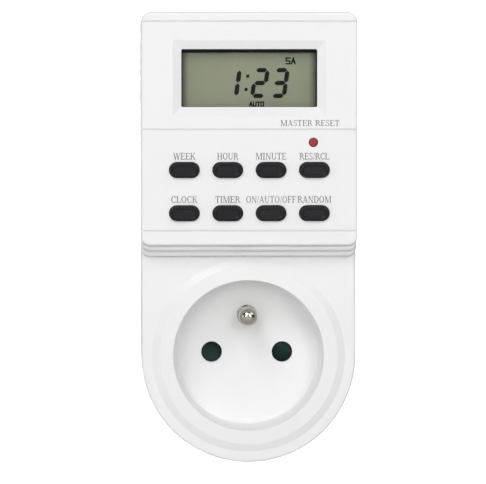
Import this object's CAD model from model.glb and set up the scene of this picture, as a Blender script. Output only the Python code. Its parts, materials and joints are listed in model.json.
"""Looks for the plug-in digital timer: finishes, printed legends, display segments, light and camera."""

import json
import math

import bmesh
import bpy
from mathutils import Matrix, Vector


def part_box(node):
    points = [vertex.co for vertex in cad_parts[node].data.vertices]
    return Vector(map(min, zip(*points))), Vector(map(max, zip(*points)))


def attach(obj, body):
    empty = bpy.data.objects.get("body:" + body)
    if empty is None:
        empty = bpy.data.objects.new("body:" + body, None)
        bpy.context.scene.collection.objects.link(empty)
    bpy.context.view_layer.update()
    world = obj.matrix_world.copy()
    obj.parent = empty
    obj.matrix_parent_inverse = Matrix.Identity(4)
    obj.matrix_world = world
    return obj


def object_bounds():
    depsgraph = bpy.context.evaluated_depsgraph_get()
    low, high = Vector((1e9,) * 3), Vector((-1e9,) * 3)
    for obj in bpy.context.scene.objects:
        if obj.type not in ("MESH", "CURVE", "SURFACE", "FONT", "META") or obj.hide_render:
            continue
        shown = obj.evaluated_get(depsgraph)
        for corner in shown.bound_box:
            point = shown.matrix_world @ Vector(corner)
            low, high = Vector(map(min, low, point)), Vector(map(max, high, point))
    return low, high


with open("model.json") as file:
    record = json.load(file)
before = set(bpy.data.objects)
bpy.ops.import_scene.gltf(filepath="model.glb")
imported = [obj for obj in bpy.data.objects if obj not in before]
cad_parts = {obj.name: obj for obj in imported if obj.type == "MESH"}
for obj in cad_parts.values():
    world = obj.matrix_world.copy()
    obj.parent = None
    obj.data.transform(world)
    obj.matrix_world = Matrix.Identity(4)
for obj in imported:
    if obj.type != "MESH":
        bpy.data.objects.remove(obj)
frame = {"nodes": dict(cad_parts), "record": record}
cad_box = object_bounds()
nodes = frame["nodes"]
MM = 0.001
# The pane runs a little past the display opening on each side; this is half the width that shows
PANE_OVERLAP = 1.35 * MM
DISPLAY_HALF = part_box("lcd_window")[1].x - PANE_OVERLAP


# ---------------------------------------------------------------- node helpers

def new_material(name):
    """A plain node material; returns the material, its node tree and its shader."""
    material = bpy.data.materials.new(name)
    material.use_nodes = True
    tree = material.node_tree
    shader = tree.nodes["Principled BSDF"]
    return material, tree, shader


def noise(tree, scale, detail, stretch=None):
    """Noise in the object's own space; scale is in cycles per metre."""
    coordinates = tree.nodes.new("ShaderNodeTexCoord")
    source = coordinates.outputs["Object"]
    if stretch is not None:
        mapping = tree.nodes.new("ShaderNodeMapping")
        mapping.inputs["Scale"].default_value = stretch
        tree.links.new(source, mapping.inputs["Vector"])
        source = mapping.outputs["Vector"]
    texture = tree.nodes.new("ShaderNodeTexNoise")
    texture.inputs["Scale"].default_value = scale
    texture.inputs["Detail"].default_value = detail
    tree.links.new(source, texture.inputs["Vector"])
    return texture.outputs["Fac"]


def ramp(tree, factor, low, high, low_at=0.3, high_at=0.7):
    """A colour ramp between two colours."""
    node = tree.nodes.new("ShaderNodeValToRGB")
    node.color_ramp.elements[0].position = low_at
    node.color_ramp.elements[0].color = low
    node.color_ramp.elements[1].position = high_at
    node.color_ramp.elements[1].color = high
    tree.links.new(factor, node.inputs["Fac"])
    return node.outputs["Color"]


def spread(tree, factor, low, high):
    """Maps a 0..1 factor on to a range."""
    node = tree.nodes.new("ShaderNodeMapRange")
    node.inputs["To Min"].default_value = low
    node.inputs["To Max"].default_value = high
    tree.links.new(factor, node.inputs["Value"])
    return node.outputs["Result"]


def bump(tree, shader, height, strength, distance):
    """Fine relief on a shader."""
    node = tree.nodes.new("ShaderNodeBump")
    node.inputs["Strength"].default_value = strength
    node.inputs["Distance"].default_value = distance
    tree.links.new(height, node.inputs["Height"])
    tree.links.new(node.outputs["Normal"], shader.inputs["Normal"])


def shade(colour, factor):
    """The same colour, lighter or darker."""
    return tuple(min(1.0, c * factor) for c in colour) + (1.0,)


def moulded(name, colour, roughness, grain=9000.0, mottle=0.02, relief=0.2, sheen=0.5):
    """Moulded plastic: nearly even colour, uneven gloss and a fine spark-eroded grain."""
    material, tree, shader = new_material(name)
    shader.inputs["Specular IOR Level"].default_value = sheen
    broad = noise(tree, 160.0, 4.0)
    fine = noise(tree, grain, 2.0)
    tint = ramp(tree, broad, shade(colour, 1 - mottle), shade(colour, 1 + mottle))
    tree.links.new(tint, shader.inputs["Base Color"])
    tree.links.new(spread(tree, broad, roughness - 0.05, roughness + 0.05), shader.inputs["Roughness"])
    bump(tree, shader, fine, relief, 0.00001)
    return material


def metal(name, colour, roughness, stretch=(1.0, 1.0, 1.0)):
    """Plated or rolled metal with fine drawn lines."""
    material, tree, shader = new_material(name)
    shader.inputs["Metallic"].default_value = 1.0
    lines = noise(tree, 3000.0, 3.0, stretch)
    tint = ramp(tree, lines, shade(colour, 0.93), shade(colour, 1.03))
    tree.links.new(tint, shader.inputs["Base Color"])
    tree.links.new(spread(tree, lines, roughness - 0.04, roughness + 0.05), shader.inputs["Roughness"])
    bump(tree, shader, lines, 0.12, 0.00001)
    return material


def board(name, colour, track):
    """A printed board: resist over faint woven glass and copper tracks."""
    material, tree, shader = new_material(name)
    weave = noise(tree, 900.0, 2.0, (1.0, 1.0, 3.0))
    tint = ramp(tree, weave, shade(colour, 0.9), shade(track, 1.0), 0.45, 0.75)
    tree.links.new(tint, shader.inputs["Base Color"])
    tree.links.new(spread(tree, weave, 0.3, 0.45), shader.inputs["Roughness"])
    bump(tree, shader, weave, 0.2, 0.00002)
    return material


def clear_plastic(name):
    """A clear pane: light goes straight through, with a faint reflection and a slight haze."""
    material, tree, shader = new_material(name)
    haze = noise(tree, 40.0, 2.0)
    shader.inputs["Base Color"].default_value = (0.02, 0.022, 0.02, 1.0)
    shader.inputs["IOR"].default_value = 1.49
    tree.links.new(spread(tree, haze, 0.02, 0.06), shader.inputs["Roughness"])
    tree.links.new(spread(tree, haze, 0.035, 0.055), shader.inputs["Alpha"])
    return material


def arithmetic(tree, operation, first, second):
    """One step of arithmetic; the second term is a plain number."""
    node = tree.nodes.new("ShaderNodeMath")
    node.operation = operation
    tree.links.new(first, node.inputs[0])
    node.inputs[1].default_value = second
    return node.outputs["Value"]


def side_fade(tree, half, reach):
    """Rises smoothly from 0 to 1 towards both sides of a pane of the given half width."""
    coordinates = tree.nodes.new("ShaderNodeTexCoord")
    split = tree.nodes.new("ShaderNodeSeparateXYZ")
    tree.links.new(coordinates.outputs["Object"], split.inputs["Vector"])
    distance = arithmetic(tree, "ABSOLUTE", split.outputs["X"], 0.0)
    node = tree.nodes.new("ShaderNodeMapRange")
    node.interpolation_type = "SMOOTHERSTEP"
    node.inputs["From Min"].default_value = half - reach
    node.inputs["From Max"].default_value = half
    tree.links.new(distance, node.inputs["Value"])
    return node.outputs["Result"]


def display_glass(name, low, high):
    """Liquid-crystal glass: olive grey, a little uneven, darker where its frame shades it."""
    material, tree, shader = new_material(name)
    cloud = noise(tree, 60.0, 2.0)
    fine = noise(tree, 12000.0, 1.0)
    tint = ramp(tree, cloud, shade(low, 1.0), shade(high, 1.0))
    edge = tree.nodes.new("ShaderNodeMix")
    edge.data_type = "RGBA"
    tree.links.new(side_fade(tree, DISPLAY_HALF, 0.0026), edge.inputs["Factor"])
    tree.links.new(tint, edge.inputs["A"])
    edge.inputs["B"].default_value = shade(low, 0.42)
    tree.links.new(edge.outputs["Result"], shader.inputs["Base Color"])
    tree.links.new(spread(tree, cloud, 0.38, 0.48), shader.inputs["Roughness"])
    bump(tree, shader, fine, 0.1, 0.000005)
    return material


FINISHES = {
    "white_shell": moulded("white_shell", (0.94, 0.94, 0.94), 0.42, mottle=0.006, relief=0.08),
    "black_key": moulded("black_key", (0.012, 0.011, 0.013), 0.26, grain=6000.0, mottle=0.06, sheen=0.2),
    "red_plastic": moulded("red_plastic", (0.36, 0.018, 0.02), 0.35, mottle=0.06, sheen=0.4),
    "clear_pane": clear_plastic("clear_pane"),
    "lcd_grey": display_glass("lcd_grey", (0.295, 0.322, 0.212), (0.318, 0.342, 0.230)),
    "black_plastic": moulded("black_plastic", (0.006, 0.006, 0.006), 0.5, mottle=0.06, sheen=0.15),
    "black_rubber": moulded("black_rubber", (0.03, 0.03, 0.03), 0.8, mottle=0.1),
    "green_board": board("green_board", (0.02, 0.16, 0.05), (0.05, 0.26, 0.09)),
    "brown_board": board("brown_board", (0.36, 0.20, 0.08), (0.45, 0.27, 0.12)),
    "black_epoxy": moulded("black_epoxy", (0.012, 0.012, 0.012), 0.25, mottle=0.1),
    "bright_can": metal("bright_can", (0.72, 0.72, 0.71), 0.24),
    "tin_pins": metal("tin_pins", (0.70, 0.70, 0.68), 0.3),
    "silicone": moulded("silicone", (0.62, 0.62, 0.60), 0.6),
    "spring_steel": metal("spring_steel", (0.52, 0.52, 0.53), 0.25),
    "zinc_steel": metal("zinc_steel", (0.66, 0.66, 0.67), 0.3),
    "label_film": moulded("label_film", (0.70, 0.70, 0.70), 0.3, grain=4000.0, mottle=0.02),
    "blue_case": moulded("blue_case", (0.04, 0.11, 0.36), 0.4),
    "grey_case": moulded("grey_case", (0.42, 0.42, 0.40), 0.45),
    "black_sleeve": moulded("black_sleeve", (0.02, 0.02, 0.025), 0.25),
    "resistor_body": moulded("resistor_body", (0.30, 0.50, 0.58), 0.3),
    "blue_coating": moulded("blue_coating", (0.03, 0.16, 0.42), 0.28),
    "nickel": metal("nickel", (0.52, 0.49, 0.43), 0.14, stretch=(1.0, 0.1, 1.0)),
    "brass_strip": metal("brass_strip", (0.78, 0.56, 0.24), 0.28, stretch=(1.0, 1.0, 0.15)),
    "grey_thermoset": moulded("grey_thermoset", (0.30, 0.30, 0.29), 0.55),
    "dark_green_plastic": moulded("dark_green_plastic", (0.010, 0.034, 0.027), 0.5, mottle=0.12, sheen=0.2),
}

for entry in frame["record"]["subparts"]:
    mesh = nodes[entry["node"]].data
    mesh.materials.clear()
    mesh.materials.append(FINISHES[entry["material_slot"]])


# ---------------------------------------------------------------- thin printed shapes

def printed(name, shapes, front, thickness, material, body):
    """Flat shapes in the XZ plane, each a closed prism; front is the Y of their outer face."""
    mesh = bmesh.new()
    for shape in shapes:
        near = [mesh.verts.new((x, front, z)) for x, z in shape]
        far = [mesh.verts.new((x, front + thickness, z)) for x, z in shape]
        mesh.faces.new(near)
        mesh.faces.new(list(reversed(far)))
        count = len(shape)
        for i in range(count):
            j = (i + 1) % count
            mesh.faces.new((near[j], near[i], far[i], far[j]))
    bmesh.ops.recalc_face_normals(mesh, faces=mesh.faces)
    data = bpy.data.meshes.new(name)
    mesh.to_mesh(data)
    mesh.free()
    data.materials.append(material)
    piece = bpy.data.objects.new(name, data)
    bpy.context.scene.collection.objects.link(piece)
    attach(piece, body)
    return piece


# Letters are drawn in units of the capital height: thick stems, thin bars and short feet.
STEM = 0.17
HAIR = 0.075
FOOT = 0.17
FOOT_HEIGHT = 0.055


def box_shape(x0, z0, x1, z1):
    """An upright rectangle."""
    return [(x0, z0), (x1, z0), (x1, z1), (x0, z1)]


def stem(x, low=0.0, high=1.0, width=STEM, feet=(True, True)):
    """An upright stroke with a foot at each end."""
    shapes = [box_shape(x - width / 2, low, x + width / 2, high)]
    reach = width / 2 + FOOT * 0.62
    if feet[0]:
        shapes.append(box_shape(x - reach, low, x + reach, low + FOOT_HEIGHT))
    if feet[1]:
        shapes.append(box_shape(x - reach, high - FOOT_HEIGHT, x + reach, high))
    return shapes


def bar(x0, x1, z):
    """A thin level stroke."""
    return [box_shape(x0, z - HAIR / 2, x1, z + HAIR / 2)]


def beak(x, z, rise):
    """The upright end of a thin arm."""
    return [box_shape(x - HAIR / 2, min(z, z + rise), x + HAIR / 2, max(z, z + rise))]


def slope(x0, z0, x1, z1, width):
    """A sloping stroke; width is measured level."""
    half = width / 2
    return [[(x0 - half, z0), (x0 + half, z0), (x1 + half, z1), (x1 - half, z1)]]


def bowl(x, z, rx, rz, start, end, thick=STEM, thin=HAIR):
    """Part of an oval stroke, thick at its sides and thin at top and bottom, in short pieces."""
    pieces = 10
    shapes = []
    for i in range(pieces):
        a = math.radians(start + (end - start) * i / pieces)
        b = math.radians(start + (end - start) * (i + 1) / pieces)
        shapes.append([
            (x + rx * math.cos(a), z + rz * math.sin(a)),
            (x + rx * math.cos(b), z + rz * math.sin(b)),
            (x + (rx - thick) * math.cos(b), z + (rz - thin) * math.sin(b)),
            (x + (rx - thick) * math.cos(a), z + (rz - thin) * math.sin(a)),
        ])
    return shapes


def letter(character):
    """The strokes of a capital and its width."""
    if character == "A":
        return (slope(0.13, 0, 0.47, 1, HAIR) + slope(0.83, 0, 0.47, 1, STEM) + bar(0.27, 0.70, 0.33)
                + [box_shape(0, 0, 0.27, FOOT_HEIGHT), box_shape(0.66, 0, 1.0, FOOT_HEIGHT)]), 1.0
    if character == "C":
        return (bowl(0.5, 0.5, 0.47, 0.52, 48, 312) + beak(0.83, 0.70, 0.28) + beak(0.83, 0.02, 0.22)), 0.92
    if character == "D":
        return (stem(0.2) + bowl(0.40, 0.5, 0.58, 0.5, -90, 90) + bar(0.1, 0.42, 0.965)
                + bar(0.1, 0.42, 0.035)), 1.02
    if character == "E":
        return (stem(0.2) + bar(0.1, 0.80, 0.965) + bar(0.1, 0.84, 0.035) + bar(0.2, 0.58, 0.52)
                + beak(0.78, 0.94, -0.20) + beak(0.83, 0.06, 0.22) + beak(0.58, 0.42, 0.2)), 0.88
    if character == "F":
        return (stem(0.2) + bar(0.1, 0.78, 0.965) + bar(0.2, 0.58, 0.52)
                + beak(0.76, 0.94, -0.20) + beak(0.58, 0.42, 0.2)), 0.82
    if character == "H":
        return stem(0.2) + stem(0.84) + bar(0.2, 0.84, 0.52), 1.05
    if character == "I":
        return stem(0.22), 0.46
    if character == "K":
        return (stem(0.2) + slope(0.30, 0.42, 0.80, 1, HAIR) + slope(0.84, 0, 0.44, 0.60, STEM)
                + [box_shape(0.66, 1 - FOOT_HEIGHT, 0.98, 1), box_shape(0.68, 0, 1.04, FOOT_HEIGHT)]), 1.03
    if character == "L":
        return stem(0.2) + bar(0.1, 0.82, 0.035) + beak(0.81, 0.06, 0.24), 0.88
    if character == "M":
        return (stem(0.16, width=HAIR) + stem(1.12) + slope(0.62, 0, 0.22, 1, STEM)
                + slope(0.62, 0, 1.06, 1, HAIR)), 1.30
    if character == "N":
        return (stem(0.18, width=HAIR) + stem(0.88, width=HAIR, feet=(False, True))
                + slope(0.86, 0, 0.20, 1, STEM)), 1.06
    if character == "O":
        return bowl(0.51, 0.5, 0.49, 0.52, 0, 360), 1.04
    if character == "R":
        return (stem(0.2) + bowl(0.42, 0.74, 0.37, 0.26, -90, 90) + bar(0.1, 0.44, 0.965)
                + bar(0.2, 0.44, 0.51) + slope(0.90, 0, 0.52, 0.50, STEM)
                + [box_shape(0.82, 0, 1.02, FOOT_HEIGHT)]), 0.98
    if character == "S":
        return (bowl(0.38, 0.74, 0.29, 0.28, 35, 235, 0.11) + bowl(0.38, 0.27, 0.30, 0.29, -145, 55, 0.12)
                + slope(0.50, 0.44, 0.24, 0.60, 0.16) + beak(0.62, 0.74, 0.24) + beak(0.09, 0.02, 0.24)), 0.74
    if character == "T":
        return (stem(0.44, feet=(True, False)) + bar(0.04, 0.84, 0.965)
                + beak(0.06, 0.96, -0.22) + beak(0.82, 0.96, -0.22)), 0.90
    if character == "U":
        return (stem(0.2, 0.32, 1.0, feet=(False, True)) + stem(0.84, 0.32, 1.0, HAIR, (False, True))
                + bowl(0.50, 0.34, 0.375, 0.36, 180, 360, 0.11)), 1.03
    if character == "W":
        return (slope(0.42, 0, 0.14, 1, STEM) + slope(0.42, 0, 0.70, 1, HAIR) + slope(0.98, 0, 0.70, 1, STEM)
                + slope(0.98, 0, 1.26, 1, HAIR)
                + [box_shape(0, 1 - FOOT_HEIGHT, 0.32, 1), box_shape(1.14, 1 - FOOT_HEIGHT, 1.38, 1)]), 1.38
    if character == "/":
        return slope(0.04, -0.05, 0.36, 1.05, HAIR), 0.40
    return [], 0.40


def legend(text, x, z, width, height):
    """A word centred on (x, z), stretched to a given width; sizes in metres."""
    shapes = []
    cursor = 0.0
    gap = 0.06
    for character in text:
        strokes, advance = letter(character)
        shapes += [[(px + cursor, pz) for px, pz in stroke] for stroke in strokes]
        cursor += advance + gap
    stretch = width / (cursor - gap)
    left = x - width / 2
    foot = z - height / 2
    return [[(left + px * stretch, foot + pz * height) for px, pz in stroke] for stroke in shapes]


# ---------------------------------------------------------------- legends on the panel

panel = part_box("front_cover")[0].y
ink = moulded("legend_ink", (0.19, 0.19, 0.20), 0.5, mottle=0.1)


def middle(node):
    """The middle of a node's box."""
    low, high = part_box(node)
    return (low + high) / 2


KEY_LEGENDS = {
    "key_week": ("WEEK", 5.9),
    "key_hour": ("HOUR", 5.6),
    "key_minute": ("MINUTE", 8.1),
    "key_recall": ("RES/RCL", 7.9),
    "key_clock": ("CLOCK", 7.0),
    "key_timer": ("TIMER", 6.6),
    "key_mode": ("ON/AUTO/OFF", 13.2),
    "key_random": ("RANDOM", 8.9),
}
LEGEND_RISE = 3.65 * MM
for node, (text, width) in KEY_LEGENDS.items():
    key = middle(node)
    shapes = legend(text, key.x, key.z + LEGEND_RISE, width * MM, 1.75 * MM)
    printed("legend_" + node[4:], shapes, panel - 0.00002, 0.00004, ink, "housing")

reset = middle("reset_button")
shapes = legend("MASTER RESET", reset.x - 0.9 * MM, reset.z + 5.1 * MM, 15.6 * MM, 1.55 * MM)
printed("legend_reset", shapes, panel - 0.00002, 0.00004, ink, "housing")


# ---------------------------------------------------------------- display segments

glass_low, glass_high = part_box("lcd_glass")
segment_front = glass_low.y - 0.00006
segment_ink = moulded("segment_ink", (0.006, 0.007, 0.005), 0.5, mottle=0.1, sheen=0.15)
SLANT = math.tan(math.radians(8.0))


def segment(x0, z0, x1, z1, width):
    """A seven-segment stroke with pointed ends."""
    along = Vector((x1 - x0, z1 - z0)).normalized()
    side = Vector((-along.y, along.x)) * width / 2
    a, b = Vector((x0, z0)), Vector((x1, z1))
    inset = along * width / 2
    return [tuple(p) for p in (a, a + inset + side, b - inset + side, b, b - inset - side, a + inset - side)]


def digit(which, x, z, width, height, stroke):
    """A seven-segment figure whose lower left corner is (x, z)."""
    half = height / 2
    gap = stroke * 0.08
    corners = {
        "top": (0, height, width, height), "middle": (0, half, width, half), "bottom": (0, 0, width, 0),
        "upper_left": (0, half, 0, height), "upper_right": (width, half, width, height),
        "lower_left": (0, 0, 0, half), "lower_right": (width, 0, width, half),
    }
    lit = {
        1: ("upper_right", "lower_right"),
        2: ("top", "upper_right", "middle", "lower_left", "bottom"),
        3: ("top", "upper_right", "middle", "lower_right", "bottom"),
    }
    shapes = []
    for name in lit[which]:
        x0, z0, x1, z1 = corners[name]
        if z0 == z1:
            x0, x1 = x0 + gap, x1 - gap
        else:
            z0, z1 = z0 + gap, z1 - gap
        outline = segment(x0, z0, x1, z1, stroke)
        shapes.append([(x + px + pz * SLANT, z + pz) for px, pz in outline])
    return shapes


def dot(x, z, size):
    """One dot of the colon, leaning like the figures."""
    lean = size * SLANT
    return [[(x, z), (x + size, z), (x + size + lean, z + size), (x + lean, z + size)]]


def plain_word(text, x, z, width, height, weight):
    """Small upright sans letters for the display's markers."""
    strokes = {
        "A": [(0, 0, 0.5, 1), (1, 0, 0.5, 1), (0.2, 0.35, 0.8, 0.35)],
        "U": [(0, 0, 0, 1), (1, 0, 1, 1), (0, 0, 1, 0)],
        "T": [(0, 1, 1, 1), (0.5, 0, 0.5, 1)],
        "O": [(0, 0, 0, 1), (1, 0, 1, 1), (0, 0, 1, 0), (0, 1, 1, 1)],
        "S": [(0, 0, 1, 0), (1, 0, 1, 0.5), (0, 0.5, 1, 0.5), (0, 0.5, 0, 1), (0, 1, 1, 1)],
    }
    pitch = width / len(text)
    wide = pitch * 0.68
    shapes = []
    for place, character in enumerate(text):
        left = x + place * pitch
        for x0, z0, x1, z1 in strokes[character]:
            a = Vector((left + x0 * wide, z + z0 * height))
            b = Vector((left + x1 * wide, z + z1 * height))
            along = (b - a).normalized() * weight / 2
            side = Vector((-along.y, along.x))
            a, b = a - along, b + along
            shapes.append([tuple(a + side), tuple(b + side), tuple(b - side), tuple(a - side)])
    return shapes


display = (glass_low + glass_high) / 2
digits_low = display.z - 4.7 * MM
shapes = digit(1, -6.5 * MM, digits_low, 3.1 * MM, 6.8 * MM, 1.2 * MM)
shapes += digit(2, 0.9 * MM, digits_low, 3.1 * MM, 6.8 * MM, 1.15 * MM)
shapes += digit(3, 6.2 * MM, digits_low, 3.1 * MM, 6.8 * MM, 1.15 * MM)
shapes += dot(-1.2 * MM, digits_low + 1.3 * MM, 0.8 * MM)
shapes += dot(-0.75 * MM, digits_low + 4.8 * MM, 0.8 * MM)
shapes += plain_word("SA", 9.9 * MM, display.z + 3.8 * MM, 2.8 * MM, 1.5 * MM, 0.36 * MM)
shapes += plain_word("AUTO", 0.2 * MM, display.z - 7.4 * MM, 4.0 * MM, 1.05 * MM, 0.30 * MM)
printed("display_segments", shapes, segment_front, 0.00005, segment_ink, "housing")


# ---------------------------------------------------------------- floor, light, camera

def sweep_floor(level, half, front, back, rise, radius):
    """A pale floor that curves up into a backdrop."""
    profile = [(front, level), (back - radius, level)]
    for i in range(1, 13):
        angle = math.radians(90 * i / 12)
        profile.append((back - radius + radius * math.sin(angle), level + radius * (1 - math.cos(angle))))
    profile.append((back, level + rise))
    mesh = bmesh.new()
    rows = [[mesh.verts.new((x, y, z)) for y, z in profile] for x in (-half, half)]
    for i in range(len(profile) - 1):
        mesh.faces.new((rows[0][i], rows[0][i + 1], rows[1][i + 1], rows[1][i]))
    data = bpy.data.meshes.new("floor")
    mesh.to_mesh(data)
    mesh.free()
    for face in data.polygons:
        face.use_smooth = True
    floor = bpy.data.objects.new("floor", data)
    bpy.context.scene.collection.objects.link(floor)
    data.materials.append(moulded("floor_paper", (0.93, 0.93, 0.93), 0.8, grain=400.0, mottle=0.005))
    return floor


def softbox(name, place, target, size, power):
    """A rectangular area light aimed at a point."""
    light = bpy.data.lights.new(name, "AREA")
    light.shape = "RECTANGLE"
    light.size, light.size_y = size
    light.energy = power
    lamp = bpy.data.objects.new(name, light)
    lamp.location = place
    lamp.rotation_euler = (Vector(target) - Vector(place)).to_track_quat("-Z", "Y").to_euler()
    bpy.context.scene.collection.objects.link(lamp)
    return lamp


low, high = Vector(cad_box[0]), Vector(cad_box[1])
floor_level = low.z - 0.045
sweep_floor(floor_level, 2.5, -2.5, 0.9, 2.4, 0.5)

centre = (low + high) / 2
softbox("key_light", (-0.45, -1.1, 0.95), centre, (0.5, 0.5), 3.8)
softbox("upper_light", (0.0, -1.25, 0.75), centre, (1.2, 0.5), 2.9)
for side in (-1, 1):
    softbox("front_light", (side * 0.3, -1.48, 0.26), centre, (0.3, 0.4), 2.8)
softbox("right_light", (0.8, -0.8, 0.9), centre, (0.7, 0.7), 2.6)
softbox("left_light", (-1.2, -0.7, 0.05), centre, (0.7, 0.9), 2.6)
backdrop_light = softbox("backdrop_light", (0.0, 0.6, 0.8), (0.0, 0.64, -0.07), (0.7, 0.25), 3.2)
backdrop_light.data.spread = math.radians(70)

bpy.context.scene.view_settings.view_transform = "Standard"

world = bpy.data.worlds.new("studio")
world.use_nodes = True
world.node_tree.nodes["Background"].inputs["Color"].default_value = (1.0, 1.0, 1.0, 1.0)
world.node_tree.nodes["Background"].inputs["Strength"].default_value = 0.08
bpy.context.scene.world = world

AZIMUTH = math.radians(1.8)
ELEVATION = math.radians(2.4)
DISTANCE = 1.064
aim = Vector((-0.0017, panel, 0.0305))
towards = Vector((
    -math.sin(AZIMUTH) * math.cos(ELEVATION),
    -math.cos(AZIMUTH) * math.cos(ELEVATION),
    math.sin(ELEVATION),
))
camera_data = bpy.data.cameras.new("camera")
camera_data.sensor_width = 36.0
camera_data.lens = 298.4
camera_data.clip_end = 20.0
camera = bpy.data.objects.new("camera", camera_data)
camera.location = aim + towards * DISTANCE
camera.rotation_euler = (-towards).to_track_quat("-Z", "Y").to_euler()
bpy.context.scene.collection.objects.link(camera)
bpy.context.scene.camera = camera
